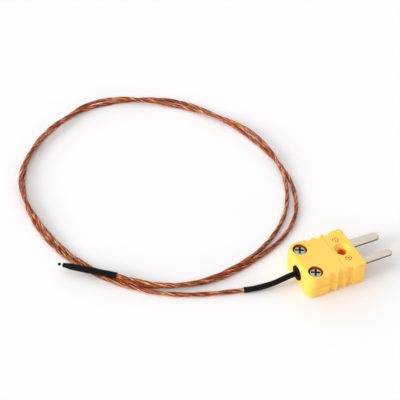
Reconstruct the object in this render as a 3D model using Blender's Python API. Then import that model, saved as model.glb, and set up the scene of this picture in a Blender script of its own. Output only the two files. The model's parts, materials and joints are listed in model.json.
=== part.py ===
"""Thermocouple probe: a flat-blade mini plug, a twisted two-wire lead and a bead junction.

Metres, +Z up. The plug lies flat, its blades point along +X, and the origin is the middle of
the underside of the plug and its blades. The lead leaves the rear and lies in two loose turns.
"""
import math

import bmesh
import bpy
import numpy as np
from mathutils import Matrix, Vector

# Plug body
BODY_LENGTH = 0.0192
BODY_WIDTH = 0.0163
BODY_HEIGHT = 0.0082
REAR_CORNER = 0.0022
FRONT_CORNER = 0.0005
TOP_FILLET = 0.00035
REAR_FILLET = 0.0010
BOTTOM_CHAMFER = 0.0003
WALL = 0.0013
SIDE_ROUND_STEPS = 5
FILLET_STEPS = 3
COVER_LENGTH = 0.0122
SHELL_GAP = 0.0001
FIT_GAP = 0.0001

# Grip grooves in both long sides
GROOVE_COUNT = 3
GROOVE_START = 0.0066
GROOVE_PITCH = 0.0031
GROOVE_DEPTH = 0.0008
GROOVE_FLOOR = 0.0014
GROOVE_STEP = 0.0001
RIB_FLAT = 0.0006

# Blades
BLADE_PITCH = 0.0079
BLADE_REACH = 0.0117
BLADE_THICKNESS = 0.0008
WIDE_BLADE = 0.0032
NARROW_BLADE = 0.0024
BLADE_EDGE = 0.0001
TERMINAL_PLATE_WIDTH = 0.0042
TERMINAL_PLATE_LENGTH = 0.0037
PLATE_GAP = 0.0003

# Terminal screws and clamp washers
TERMINAL_HEAD_RADIUS = 0.0017
TERMINAL_HEAD_HEIGHT = 0.0010
TERMINAL_HEAD_BEVEL = 0.00034
TERMINAL_SHANK_RADIUS = 0.0009
TERMINAL_BITE = 0.0019
TERMINAL_SLOT_WIDTH = 0.0004
TERMINAL_SLOT_DEPTH = 0.0004
WASHER_SIDE = 0.0032
WASHER_THICKNESS = 0.0004

# Cover screws
SCREW_FROM_REAR = 0.0033
SCREW_SPACING = 0.0101
SCREW_HEAD_RADIUS = 0.0019
SCREW_HEAD_HEIGHT = 0.0011
SCREW_RIM_HEIGHT = 0.0006
SCREW_CROWN_STEPS = 5
SCREW_HEAD_SINK = 0.0003
SCREW_SHANK_RADIUS = 0.00095
SCREW_END_HEIGHT = 0.0016
CROSS_SPAN = 0.0028
CROSS_ARM = 0.0007
CROSS_DEGREES = -28
CROSS_DEPTH = 0.0006
COUNTERBORE_RADIUS = 0.0023
INSERT_RADIUS = 0.0016
INSERT_BOTTOM = 0.0012

# Hollow for the terminals and the channel that leads to it
ROOM_WIDTH = 0.0128
ROOM_LENGTH = 0.0046
ROOM_FRONT_WALL = 0.0013
CHANNEL_WIDTH = 0.0044

# Hole through the front block, with its dish, and the polarity marks
HOLE_FROM_FRONT = 0.0040
HOLE_RADIUS = 0.0013
DISH_RADIUS = 0.0026
DISH_DEPTH = 0.0015
MARK_FROM_FRONT = 0.0041
MARK_SPACING = 0.0083
MARK_SIZE = 0.00095
MARK_STROKE = 0.0003
MARK_RING_RADIUS = 0.001
MARK_RING_STROKE = 0.00025
MARK_DEPTH = 0.00025

# Rubber grommet in the rear face
ENTRY_BELOW_MIDDLE = 0.0001
ENTRY_RADIUS = 0.0025
GROMMET_LENGTH = 0.0026
GROMMET_PROUD = 0.0005
FLANGE_START = 0.0015
FLANGE_WIDTH = 0.0007
FLANGE_RISE = 0.0004
GROMMET_LIP = 0.0005

# Sleeves, lead and wires
PLUG_SLEEVE_DIAMETER = 0.0018
LEAD_DIAMETER = 0.0012
TIP_SLEEVE_DIAMETER = 0.0021
TIP_SLEEVE_TAPER = 0.0012
TIP_SLEEVE_END_DIAMETER = 0.0016
TIP_SLEEVE_LIP = 0.00012
WIRE_DIAMETER = 0.0006
BARE_DIAMETER = 0.0003
TIP_WIRE_LENGTH = 0.0006
TIP_WIRE_BOW = 0.00008
TIP_WIRE_CLOSE = 0.00001
BEAD_DIAMETER = 0.0011
CORD_GAP = 0.0003
LEAD_POINTS = 79
SLEEVE_POINTS = 18
TAIL_POINTS = 12
HOOK_DEGREES = 240
HOOK_STEPS = 14

# How far each wire tail has gone along and across at its bends, as shares of its run
TAIL_BENDS = ((0.3, 0.03), (0.55, 0.18), (0.8, 0.52), (1.0, 1.0))

# Sides of round solids, and how far a cutter runs past the body
LARGE_ROUND = 32
MEDIUM_ROUND = 24
SMALL_ROUND = 20
BEAD_SIDES = 14
BEAD_RINGS = 8
BLADE_TIP_STEPS = 14
OVERRUN = 0.0013
MERGE_DISTANCE = 1e-7

# The rear sleeve's way out of the plug: X and Y in metres, and the share of its fall to the surface
SLEEVE_WAY = [
    (-0.0116, 0.0000, 0.0), (-0.0130, 0.0000, 0.0), (-0.0150, 0.0000, 0.0),
    (-0.0177, 0.0001, 0.10), (-0.0210, 0.0004, 0.41), (-0.0238, 0.0009, 0.71),
    (-0.0266, 0.0015, 0.90), (-0.0295, 0.0021, 0.99), (-0.0320, 0.0028, 1.0),
]
SLEEVE_END_HEIGHT = 0.0009

# The lead's way from the rear sleeve through two turns to the tip sleeve, in metres
LEAD_ROUTE = [
    (-0.0323, 0.0029, 0.0008), (-0.0508, 0.0093, 0.0006), (-0.0664, 0.0216, 0.0006),
    (-0.0770, 0.0383, 0.0006), (-0.0814, 0.0576, 0.0006), (-0.0790, 0.0772, 0.0006),
    (-0.0693, 0.0944, 0.0006), (-0.0528, 0.1050, 0.0006), (-0.0331, 0.1054, 0.0006),
    (-0.0151, 0.0975, 0.0006), (-0.0037, 0.0814, 0.0006), (0.0025, 0.0626, 0.0006),
    (0.0041, 0.0429, 0.0006), (-0.0032, 0.0246, 0.0006), (-0.0194, 0.0142, 0.0006),
    (-0.0389, 0.0103, 0.0006), (-0.0475, 0.0121, 0.0006), (-0.0577, 0.0160, 0.0006),
    (-0.0671, 0.0245, 0.0007), (-0.0739, 0.0352, 0.0006), (-0.0783, 0.0471, 0.0010),
    (-0.0807, 0.0596, 0.0017), (-0.0810, 0.0723, 0.0019), (-0.0766, 0.0841, 0.0019),
    (-0.0682, 0.0936, 0.0017), (-0.0577, 0.1008, 0.0018), (-0.0464, 0.1067, 0.0019),
    (-0.0340, 0.1057, 0.0019), (-0.0228, 0.0997, 0.0012), (-0.0129, 0.0919, 0.0006),
    (-0.0052, 0.0818, 0.0018), (0.0016, 0.0711, 0.0017), (0.0039, 0.0587, 0.0019),
    (0.0031, 0.0460, 0.0015), (-0.0010, 0.0340, 0.0008), (-0.0087, 0.0239, 0.0006),
    (-0.0190, 0.0165, 0.0007), (-0.0305, 0.0117, 0.0018), (-0.0433, 0.0103, 0.0021),
    (-0.0552, 0.0144, 0.0019), (-0.0652, 0.0223, 0.0023),
]

# The tip sleeve's far end; its near end meets the lead
TIP_SLEEVE_END = (-0.0792, 0.0335, 0.0024)

# Worked out from the sizes above
REAR = -(BODY_LENGTH + BLADE_REACH) / 2
FRONT = REAR + BODY_LENGTH
HALF_WIDTH = BODY_WIDTH / 2
PARTING_HEIGHT = BODY_HEIGHT / 2
ENTRY_HEIGHT = BODY_HEIGHT / 2 - ENTRY_BELOW_MIDDLE
BLADE_HEIGHT = BODY_HEIGHT / 2
SLEEVE_FALL = ENTRY_HEIGHT - SLEEVE_END_HEIGHT
SLEEVE_ROUTE = [(x, y, ENTRY_HEIGHT - share * SLEEVE_FALL) for x, y, share in SLEEVE_WAY]
SEAM = REAR + COVER_LENGTH
ROOM_FRONT = SEAM - ROOM_FRONT_WALL
ROOM_REAR = ROOM_FRONT - ROOM_LENGTH
ROOM_FLOOR = WALL
ROOM_ROOF = BODY_HEIGHT - WALL
BLADE_TOP = BLADE_HEIGHT + BLADE_THICKNESS / 2
BLADE_BOTTOM = BLADE_HEIGHT - BLADE_THICKNESS / 2
LEDGE = BLADE_BOTTOM - FIT_GAP
PLATE_FRONT = ROOM_FRONT - PLATE_GAP
PLATE_REAR = PLATE_FRONT - TERMINAL_PLATE_LENGTH
TERMINAL_X = (PLATE_FRONT + PLATE_REAR) / 2
BARE_HEIGHT = BLADE_TOP + FIT_GAP / 2 + BARE_DIAMETER / 2
WASHER_BOTTOM = BARE_HEIGHT + BARE_DIAMETER / 2 + FIT_GAP / 2
WASHER_TOP = WASHER_BOTTOM + WASHER_THICKNESS
SCREW_X = REAR + SCREW_FROM_REAR
SCREW_Y = SCREW_SPACING / 2
SCREW_HEAD_TOP = BODY_HEIGHT - SCREW_HEAD_SINK
COUNTERBORE_FLOOR = SCREW_HEAD_TOP - SCREW_HEAD_HEIGHT - FIT_GAP
HOLE_X = FRONT - HOLE_FROM_FRONT
MARK_X = FRONT - MARK_FROM_FRONT
POLES = (("negative", 1), ("positive", -1))
SCREW_SIDES = (("left", 1), ("right", -1))
BLADE_WIDTHS = {"negative": WIDE_BLADE, "positive": NARROW_BLADE}


def clear_scene():
    for item in list(bpy.data.objects):
        bpy.data.objects.remove(item, do_unlink=True)


def make_material(name, colour, roughness, metallic=0.0):
    material = bpy.data.materials.new(name)
    material.use_nodes = True
    shader = material.node_tree.nodes["Principled BSDF"]
    shader.inputs["Base Color"].default_value = (*colour, 1.0)
    shader.inputs["Roughness"].default_value = roughness
    shader.inputs["Metallic"].default_value = metallic
    return material


def add_object(name, data, material=None):
    item = bpy.data.objects.new(name, data)
    bpy.context.scene.collection.objects.link(item)
    if material is not None:
        data.materials.append(material)
    return item


def mesh_from(bm, name):
    bmesh.ops.recalc_face_normals(bm, faces=bm.faces)
    mesh = bpy.data.meshes.new(name)
    bm.to_mesh(mesh)
    bm.free()
    return mesh


def smooth_round(mesh, degrees=35):
    mesh.shade_smooth()
    mesh.set_sharp_from_angle(angle=math.radians(degrees))


def lofted(name, rings, material=None):
    """A closed solid through equal rings of points, with flat ends."""
    bm = bmesh.new()
    loops = [[bm.verts.new(point) for point in ring] for ring in rings]
    count = len(loops[0])
    for lower, upper in zip(loops, loops[1:]):
        for i in range(count):
            j = (i + 1) % count
            bm.faces.new((lower[i], lower[j], upper[j], upper[i]))
    bm.faces.new(list(reversed(loops[0])))
    bm.faces.new(loops[-1])
    return add_object(name, mesh_from(bm, name), material)


def prism(name, outline, bottom, top, material=None):
    return lofted(name, [[(x, y, z) for x, y in outline] for z in (bottom, top)], material)


def box_outline(x0, x1, y0, y1):
    return [(x0, y0), (x1, y0), (x1, y1), (x0, y1)]


def plus_outline(x, y, span, arm, degrees=0):
    s = span / 2
    a = arm / 2
    steps = [(s, -a), (s, a), (a, a), (a, s), (-a, s), (-a, a), (-s, a), (-s, -a), (-a, -a)]
    steps += [(-a, -s), (a, -s), (a, -a)]
    turn = math.radians(degrees)
    c = math.cos(turn)
    d = math.sin(turn)
    return [(x + c * dx - d * dy, y + d * dx + c * dy) for dx, dy in steps]


def turned(name, profile, segments, material=None, place=None):
    """A solid of revolution about +Z from (radius, height) points, axis to axis."""
    bm = bmesh.new()
    corners = [bm.verts.new((radius, 0.0, height)) for radius, height in profile]
    edges = [bm.edges.new(pair) for pair in zip(corners, corners[1:])]
    bmesh.ops.spin(
        bm, geom=corners + edges, cent=(0, 0, 0), axis=(0, 0, 1),
        angle=2 * math.pi, steps=segments, use_merge=True,
    )
    bmesh.ops.remove_doubles(bm, verts=bm.verts, dist=MERGE_DISTANCE)
    if place is not None:
        bmesh.ops.transform(bm, matrix=place, verts=bm.verts)
    mesh = mesh_from(bm, name)
    smooth_round(mesh)
    return add_object(name, mesh, material)


def pierced(name, profile, segments, material, place):
    """A solid of revolution with a bore: a closed ring profile about +Z."""
    bm = bmesh.new()
    corners = [bm.verts.new((radius, 0.0, height)) for radius, height in profile]
    edges = [bm.edges.new((a, b)) for a, b in zip(corners, corners[1:] + corners[:1])]
    bmesh.ops.spin(
        bm, geom=corners + edges, cent=(0, 0, 0), axis=(0, 0, 1),
        angle=2 * math.pi, steps=segments, use_merge=True,
    )
    bmesh.ops.remove_doubles(bm, verts=bm.verts, dist=MERGE_DISTANCE)
    bmesh.ops.transform(bm, matrix=place, verts=bm.verts)
    mesh = mesh_from(bm, name)
    smooth_round(mesh)
    return add_object(name, mesh, material)


def at(x, y, z=0.0):
    return Matrix.Translation((x, y, z))


def along_x(x, y, z):
    """Turns a solid's +Z axis to +X and moves its base to a point."""
    return Matrix.Translation((x, y, z)) @ Matrix.Rotation(math.radians(90), 4, "Y")


def cut(target, cutter, operation="DIFFERENCE"):
    modifier = target.modifiers.new(cutter.name, "BOOLEAN")
    modifier.operation = operation
    modifier.solver = "EXACT"
    modifier.object = cutter
    cutter.hide_render = True
    cutter.display_type = "WIRE"


def smooth_curve(points, count):
    """Evenly spaced points on a natural cubic through the route's own points."""
    given = np.array(points)
    steps = np.sqrt(np.linalg.norm(np.diff(given, axis=0), axis=1))
    knots = np.concatenate([[0.0], np.cumsum(steps)])
    size = len(given)
    matrix = np.zeros((size, size))
    right = np.zeros((size, 3))
    matrix[0, 0] = matrix[-1, -1] = 1.0
    for i in range(1, size - 1):
        before = knots[i] - knots[i - 1]
        after = knots[i + 1] - knots[i]
        matrix[i, i - 1] = before
        matrix[i, i] = 2 * (before + after)
        matrix[i, i + 1] = after
        rise_after = (given[i + 1] - given[i]) / after
        rise_before = (given[i] - given[i - 1]) / before
        right[i] = 6 * (rise_after - rise_before)
    bend = np.linalg.solve(matrix, right)
    fine = []
    for value in np.linspace(0.0, knots[-1], 40 * size):
        i = min(int(np.searchsorted(knots, value, side="right")) - 1, size - 2)
        width = knots[i + 1] - knots[i]
        a = (knots[i + 1] - value) / width
        b = (value - knots[i]) / width
        curl = ((a**3 - a) * bend[i] + (b**3 - b) * bend[i + 1]) * width**2 / 6
        fine.append(a * given[i] + b * given[i + 1] + curl)
    fine = np.array(fine)
    run = np.concatenate([[0.0], np.cumsum(np.linalg.norm(np.diff(fine, axis=0), axis=1))])
    stations = np.linspace(0.0, run[-1], count)
    return np.array([[np.interp(s, run, fine[:, k]) for k in range(3)] for s in stations])


def tube(name, points, diameter, material, sides_level=2):
    curve = bpy.data.curves.new(name, "CURVE")
    curve.dimensions = "3D"
    curve.bevel_depth = diameter / 2
    curve.bevel_resolution = sides_level
    curve.use_fill_caps = True
    curve.render_resolution_u = 0
    spline = curve.splines.new("POLY")
    spline.points.add(len(points) - 1)
    for knot, place in zip(spline.points, points):
        knot.co = (*place, 1.0)
    return add_object(name, curve, material)


def arc(cx, cy, radius, start, end, steps):
    turns = [math.radians(start + (end - start) * i / steps) for i in range(steps + 1)]
    return [(cx + radius * math.cos(t), cy + radius * math.sin(t)) for t in turns]


def body_outline(inset, rear_inset):
    """The plug's plan, drawn in by an inset, with the grip grooves in both sides."""
    edge = HALF_WIDTH - inset
    rear = REAR + rear_inset
    front = FRONT - inset
    rear_radius = REAR_CORNER - inset
    front_radius = FRONT_CORNER - inset
    side = arc(rear + rear_radius, edge - rear_radius, rear_radius, 180, 90, SIDE_ROUND_STEPS)
    for i in range(GROOVE_COUNT):
        start = REAR + GROOVE_START + i * GROOVE_PITCH
        crest = start + GROOVE_PITCH - RIB_FLAT
        side.append((start, edge))
        side.append((start + GROOVE_STEP, edge - GROOVE_DEPTH))
        side.append((start + GROOVE_FLOOR, edge - GROOVE_DEPTH))
        side.append((crest, edge))
    side += arc(front - front_radius, edge - front_radius, front_radius, 90, 0, SIDE_ROUND_STEPS)
    return side + [(x, -y) for x, y in reversed(side)]


def fillet_inset(radius, z):
    """How far a rounded top edge has drawn in at a height."""
    rise = max(0.0, z - (BODY_HEIGHT - radius))
    return radius - math.sqrt(max(0.0, radius**2 - rise**2))


def body_block(name, material):
    """The whole body, its rear top edge rounder than its sides and front."""
    rings = []
    for inset, z in ((BOTTOM_CHAMFER, 0.0), (0.0, BOTTOM_CHAMFER)):
        rings.append([(x, y, z) for x, y in body_outline(inset, inset)])
    turns = [math.radians(90 * step / FILLET_STEPS) for step in range(FILLET_STEPS + 1)]
    drops = {radius * (1 - math.sin(turn)) for radius in (REAR_FILLET, TOP_FILLET) for turn in turns}
    for z in sorted(BODY_HEIGHT - drop for drop in drops):
        outline = body_outline(fillet_inset(TOP_FILLET, z), fillet_inset(REAR_FILLET, z))
        rings.append([(x, y, z) for x, y in outline])
    return lofted(name, rings, material)


def room_outline():
    """The terminal room with the narrower channel behind it."""
    half_room = ROOM_WIDTH / 2
    half_channel = CHANNEL_WIDTH / 2
    channel_end = REAR - GROMMET_PROUD + GROMMET_LENGTH - SHELL_GAP
    side = [(channel_end, half_channel), (ROOM_REAR, half_channel)]
    side += [(ROOM_REAR, half_room), (ROOM_FRONT, half_room)]
    return [(x, -y) for x, y in side] + list(reversed(side))


def channel_outline():
    half_channel = CHANNEL_WIDTH / 2
    channel_end = REAR - GROMMET_PROUD + GROMMET_LENGTH - SHELL_GAP
    return box_outline(channel_end, ROOM_REAR + half_channel, -half_channel, half_channel)


def entry_cutter():
    bore = ENTRY_RADIUS
    ring = ENTRY_RADIUS + FLANGE_RISE
    flange = FLANGE_START - GROMMET_PROUD
    flange_end = flange + FLANGE_WIDTH
    inner = GROMMET_LENGTH - GROMMET_PROUD + FIT_GAP
    profile = [(0, -OVERRUN), (bore, -OVERRUN), (bore, flange - FIT_GAP), (ring, flange - FIT_GAP)]
    profile += [(ring, flange_end + FIT_GAP), (bore, flange_end + FIT_GAP), (bore, inner)]
    profile += [(0, inner)]
    return turned("entry_cutter", profile, LARGE_ROUND, place=along_x(REAR, 0, ENTRY_HEIGHT))


def screw_way_cutters():
    """Counterbore, clearance hole and insert pocket for each cover screw."""
    cutters = []
    hole = SCREW_SHANK_RADIUS + FIT_GAP
    pocket = INSERT_RADIUS + FIT_GAP
    top = BODY_HEIGHT + OVERRUN
    for label, side in SCREW_SIDES:
        place = at(SCREW_X, side * SCREW_Y)
        bore = [(0, 0), (hole, 0), (hole, COUNTERBORE_FLOOR), (COUNTERBORE_RADIUS, COUNTERBORE_FLOOR)]
        bore += [(COUNTERBORE_RADIUS, top), (0, top)]
        cutters.append(("cover", turned("counterbore_" + label, bore, LARGE_ROUND, place=place)))
        seat = INSERT_BOTTOM - FIT_GAP
        well = [(0, seat), (pocket, seat), (pocket, BODY_HEIGHT), (0, BODY_HEIGHT)]
        cutters.append(("base", turned("insert_pocket_" + label, well, MEDIUM_ROUND, place=place)))
    return cutters


def blade_outline(inset, label, side):
    """A blade's plan: round-ended tongue in front, square terminal plate behind."""
    centre = side * BLADE_PITCH / 2
    half = BLADE_WIDTHS[label] / 2 - inset
    plate = TERMINAL_PLATE_WIDTH / 2 - inset
    tip_centre = FRONT + BLADE_REACH - BLADE_WIDTHS[label] / 2
    outline = [(PLATE_REAR + inset, -plate), (PLATE_FRONT - inset, -plate)]
    outline += [(PLATE_FRONT - inset, -half)]
    outline += arc(tip_centre, 0, half, -90, 90, BLADE_TIP_STEPS)
    outline += [(PLATE_FRONT - inset, half), (PLATE_FRONT - inset, plate)]
    outline += [(PLATE_REAR + inset, plate)]
    return [(x, centre + y) for x, y in outline]


def terminal_bore(name, side, bottom):
    """A cutter for the hole round one terminal screw, from a height up to the room's roof."""
    radius = TERMINAL_SHANK_RADIUS + FIT_GAP
    profile = [(0, bottom), (radius, bottom), (radius, ROOM_ROOF), (0, ROOM_ROOF)]
    return turned(name, profile, SMALL_ROUND, place=at(TERMINAL_X, side * BLADE_PITCH / 2))


def make_blades(metal):
    for label, side in POLES:
        levels = [(BLADE_EDGE, BLADE_BOTTOM), (0, BLADE_BOTTOM + BLADE_EDGE)]
        levels += [(0, BLADE_TOP - BLADE_EDGE), (BLADE_EDGE, BLADE_TOP)]
        rings = [[(x, y, z) for x, y in blade_outline(inset, label, side)] for inset, z in levels]
        blade = lofted("blade_" + label, rings, metal)
        cut(blade, terminal_bore("blade_hole_" + label, side, ROOM_FLOOR))


def slot_cutter(label, side):
    """The way through both shells for one blade."""
    half = BLADE_WIDTHS[label] / 2 + FIT_GAP
    centre = side * BLADE_PITCH / 2
    outline = box_outline(ROOM_FRONT - OVERRUN, FRONT + OVERRUN, centre - half, centre + half)
    return prism("blade_slot_" + label, outline, LEDGE, BLADE_TOP + FIT_GAP)


def make_shells(plastic):
    reach = BODY_LENGTH
    cover = body_block("plug_cover", plastic)
    outline = box_outline(REAR - reach, SEAM - SHELL_GAP / 2, -reach, reach)
    keep = prism("cover_region", outline, PARTING_HEIGHT + SHELL_GAP / 2, BODY_HEIGHT + reach)
    cut(cover, keep, "INTERSECT")

    base = body_block("plug_base", plastic)
    outline = box_outline(REAR - reach, SEAM + SHELL_GAP / 2, -reach, reach)
    drop = prism("cover_space", outline, PARTING_HEIGHT - SHELL_GAP / 2, BODY_HEIGHT + reach)
    cut(base, drop)

    cut(cover, prism("cover_room_cutter", room_outline(), ROOM_FLOOR, ROOM_ROOF))
    cut(base, prism("base_room_cutter", room_outline(), LEDGE, ROOM_ROOF))
    cut(base, prism("base_channel_cutter", channel_outline(), ROOM_FLOOR, ROOM_ROOF))

    entry = entry_cutter()
    cut(cover, entry)
    cut(base, entry)
    for shell, cutter in screw_way_cutters():
        cut(cover if shell == "cover" else base, cutter)
    for label, side in POLES:
        slot = slot_cutter(label, side)
        cut(cover, slot)
        cut(base, slot)
        cut(base, terminal_bore("pilot_hole_" + label, side, BLADE_BOTTOM - TERMINAL_BITE - FIT_GAP))

    top = BODY_HEIGHT + DISH_DEPTH
    slope = (DISH_RADIUS - HOLE_RADIUS) / DISH_DEPTH
    wide = DISH_RADIUS + slope * DISH_DEPTH
    profile = [(0, -OVERRUN), (HOLE_RADIUS, -OVERRUN), (HOLE_RADIUS, BODY_HEIGHT - DISH_DEPTH)]
    profile += [(wide, top), (0, top)]
    cut(base, turned("dish_cutter", profile, LARGE_ROUND, place=at(HOLE_X, 0)))

    sunk = BODY_HEIGHT - MARK_DEPTH
    above = BODY_HEIGHT + OVERRUN
    y = MARK_SPACING / 2
    bar = box_outline(
        MARK_X - MARK_STROKE / 2, MARK_X + MARK_STROKE / 2, y - MARK_SIZE / 2, y + MARK_SIZE / 2
    )
    cut(base, prism("minus_cutter", bar, sunk, above))
    plus = plus_outline(MARK_X, -y, MARK_SIZE, MARK_STROKE)
    cut(base, prism("plus_cutter", plus, sunk, above))
    inner = MARK_RING_RADIUS - MARK_RING_STROKE
    ring = [(inner, sunk), (MARK_RING_RADIUS, sunk), (MARK_RING_RADIUS, above), (inner, above)]
    for label, side in POLES:
        cut(base, pierced("mark_ring_" + label, ring, LARGE_ROUND, None, at(MARK_X, side * y)))


def make_cover_screws(steel, brass):
    for label, side in SCREW_SIDES:
        place = at(SCREW_X, side * SCREW_Y)
        under = SCREW_HEAD_TOP - SCREW_HEAD_HEIGHT
        rim = under + SCREW_RIM_HEIGHT
        crown = []
        for step in range(1, SCREW_CROWN_STEPS):
            turn = math.radians(90 * step / SCREW_CROWN_STEPS)
            radius = SCREW_HEAD_RADIUS * math.cos(turn)
            crown.append((radius, rim + (SCREW_HEAD_TOP - rim) * math.sin(turn)))
        profile = [(0, SCREW_END_HEIGHT), (SCREW_SHANK_RADIUS, SCREW_END_HEIGHT)]
        profile += [(SCREW_SHANK_RADIUS, under), (SCREW_HEAD_RADIUS, under)]
        profile += [(SCREW_HEAD_RADIUS, rim)] + crown + [(0, SCREW_HEAD_TOP)]
        screw = turned("cover_screw_" + label, profile, MEDIUM_ROUND, steel, place)
        cross = plus_outline(SCREW_X, side * SCREW_Y, CROSS_SPAN, CROSS_ARM, CROSS_DEGREES)
        top = SCREW_HEAD_TOP + SCREW_HEAD_HEIGHT
        cut(screw, prism("cross_recess_" + label, cross, SCREW_HEAD_TOP - CROSS_DEPTH, top))

        inner = SCREW_SHANK_RADIUS + FIT_GAP
        insert_top = PARTING_HEIGHT - SHELL_GAP
        ring = [(inner, INSERT_BOTTOM), (INSERT_RADIUS, INSERT_BOTTOM)]
        ring += [(INSERT_RADIUS, insert_top), (inner, insert_top)]
        pierced("screw_insert_" + label, ring, MEDIUM_ROUND, brass, place)


def make_terminals(steel):
    for label, side in POLES:
        y = side * BLADE_PITCH / 2
        under = WASHER_TOP + FIT_GAP / 2
        top = under + TERMINAL_HEAD_HEIGHT
        end = BLADE_BOTTOM - TERMINAL_BITE
        profile = [(0, end), (TERMINAL_SHANK_RADIUS, end), (TERMINAL_SHANK_RADIUS, under)]
        profile += [(TERMINAL_HEAD_RADIUS, under), (TERMINAL_HEAD_RADIUS, top - TERMINAL_HEAD_BEVEL)]
        profile += [(TERMINAL_HEAD_RADIUS - TERMINAL_HEAD_BEVEL, top), (0, top)]
        screw = turned("terminal_screw_" + label, profile, SMALL_ROUND, steel, at(TERMINAL_X, y))
        half = TERMINAL_SLOT_WIDTH / 2
        reach = 2 * TERMINAL_HEAD_RADIUS
        slot = box_outline(TERMINAL_X - reach, TERMINAL_X + reach, y - half, y + half)
        floor = top - TERMINAL_SLOT_DEPTH
        cut(screw, prism("screw_slot_" + label, slot, floor, top + TERMINAL_SLOT_DEPTH))

        half_side = WASHER_SIDE / 2
        outline = box_outline(TERMINAL_X - half_side, TERMINAL_X + half_side, y - half_side, y + half_side)
        washer = prism("clamp_washer_" + label, outline, WASHER_BOTTOM, WASHER_TOP, steel)
        cut(washer, terminal_bore("washer_hole_" + label, side, ROOM_FLOOR))


def make_grommet(rubber):
    bore = PLUG_SLEEVE_DIAMETER / 2 + FIT_GAP
    waist = ENTRY_RADIUS - FIT_GAP
    flange = ENTRY_RADIUS + FLANGE_RISE - FIT_GAP
    flange_end = FLANGE_START + FLANGE_WIDTH
    profile = [(bore, 0), (waist - GROMMET_LIP, 0), (waist, GROMMET_LIP / 2), (waist, FLANGE_START)]
    profile += [(flange, FLANGE_START), (flange, flange_end), (waist, flange_end)]
    profile += [(waist, GROMMET_LENGTH - FIT_GAP), (bore, GROMMET_LENGTH - FIT_GAP)]
    place = along_x(REAR - GROMMET_PROUD, 0, ENTRY_HEIGHT)
    pierced("entry_grommet", profile, LARGE_ROUND, rubber, place)


def make_inner_wires(films, alloy):
    """Each wire leaves the sleeve, runs to its blade and hooks round the terminal screw."""
    hook = TERMINAL_SHANK_RADIUS + FIT_GAP + BARE_DIAMETER / 2
    sleeve_end = Vector(SLEEVE_ROUTE[0])
    strip = PLATE_REAR - FIT_GAP
    for label, side in POLES:
        screw_y = side * BLADE_PITCH / 2
        lane = screw_y - side * hook
        start = (sleeve_end.x + FIT_GAP, side * (WIRE_DIAMETER + FIT_GAP) / 2, sleeve_end.z)
        run = strip - start[0]
        route = [start]
        for along, across in TAIL_BENDS:
            y = start[1] + (lane - start[1]) * across
            z = start[2] + (BARE_HEIGHT + WIRE_DIAMETER / 4 - start[2]) * along
            route.append((start[0] + run * along, y, z))
        tail = smooth_curve(route, TAIL_POINTS)
        tube("wire_tail_" + label, tail, WIRE_DIAMETER, films[label])
        flat = [(strip + FIT_GAP, lane), ((strip + TERMINAL_X) / 2, lane)]
        turn_end = (HOOK_DEGREES - 90) * side
        flat += arc(TERMINAL_X, screw_y, hook, -90 * side, turn_end, HOOK_STEPS)
        tube("bare_end_" + label, [(x, y, BARE_HEIGHT) for x, y in flat], BARE_DIAMETER, alloy, 1)


def make_sleeves_and_lead(rubber, film):
    sleeve = smooth_curve(SLEEVE_ROUTE, SLEEVE_POINTS)
    tube("plug_sleeve", sleeve, PLUG_SLEEVE_DIAMETER, rubber, 4)
    route = smooth_curve(LEAD_ROUTE, LEAD_POINTS)
    route[:, 2] = np.maximum(route[:, 2], LEAD_DIAMETER / 2)
    tube("lead", route, LEAD_DIAMETER, film)


def make_tip(rubber, alloy, weld):
    lead_end = Vector(LEAD_ROUTE[-1])
    sleeve_end = Vector(TIP_SLEEVE_END)
    direction = (sleeve_end - lead_end).normalized()
    start = lead_end + direction * CORD_GAP
    length = (sleeve_end - start).length
    radius = TIP_SLEEVE_DIAMETER / 2
    end_radius = TIP_SLEEVE_END_DIAMETER / 2
    waist = length - TIP_SLEEVE_TAPER
    profile = [(0, 0), (radius - TIP_SLEEVE_LIP, 0), (radius, TIP_SLEEVE_LIP), (radius, waist)]
    profile += [((radius + end_radius) / 2, (waist + length) / 2), (end_radius, length), (0, length)]
    turn = direction.to_track_quat("Z", "Y").to_matrix().to_4x4()
    turned("tip_sleeve", profile, SMALL_ROUND, rubber, Matrix.Translation(start) @ turn)

    across = direction.cross(Vector((0, 0, 1))).normalized()
    bead = sleeve_end + direction * (TIP_WIRE_LENGTH + FIT_GAP + BEAD_DIAMETER / 2)
    for label, side in POLES:
        outward = across * side
        first = sleeve_end + direction * FIT_GAP + outward * (BARE_DIAMETER + FIT_GAP) / 2
        middle = first + direction * TIP_WIRE_LENGTH / 2 + outward * TIP_WIRE_BOW
        last = first + direction * (TIP_WIRE_LENGTH - FIT_GAP) - outward * TIP_WIRE_CLOSE
        tube("tip_wire_" + label, [first, middle, last], BARE_DIAMETER, alloy, 1)
    half = BEAD_DIAMETER / 2
    ball = arc(0, 0, half, -90, 90, BEAD_RINGS)
    ball[0] = (0, -half)
    ball[-1] = (0, half)
    turned("junction_bead", ball, BEAD_SIDES, weld, Matrix.Translation(bead) @ turn)


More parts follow.
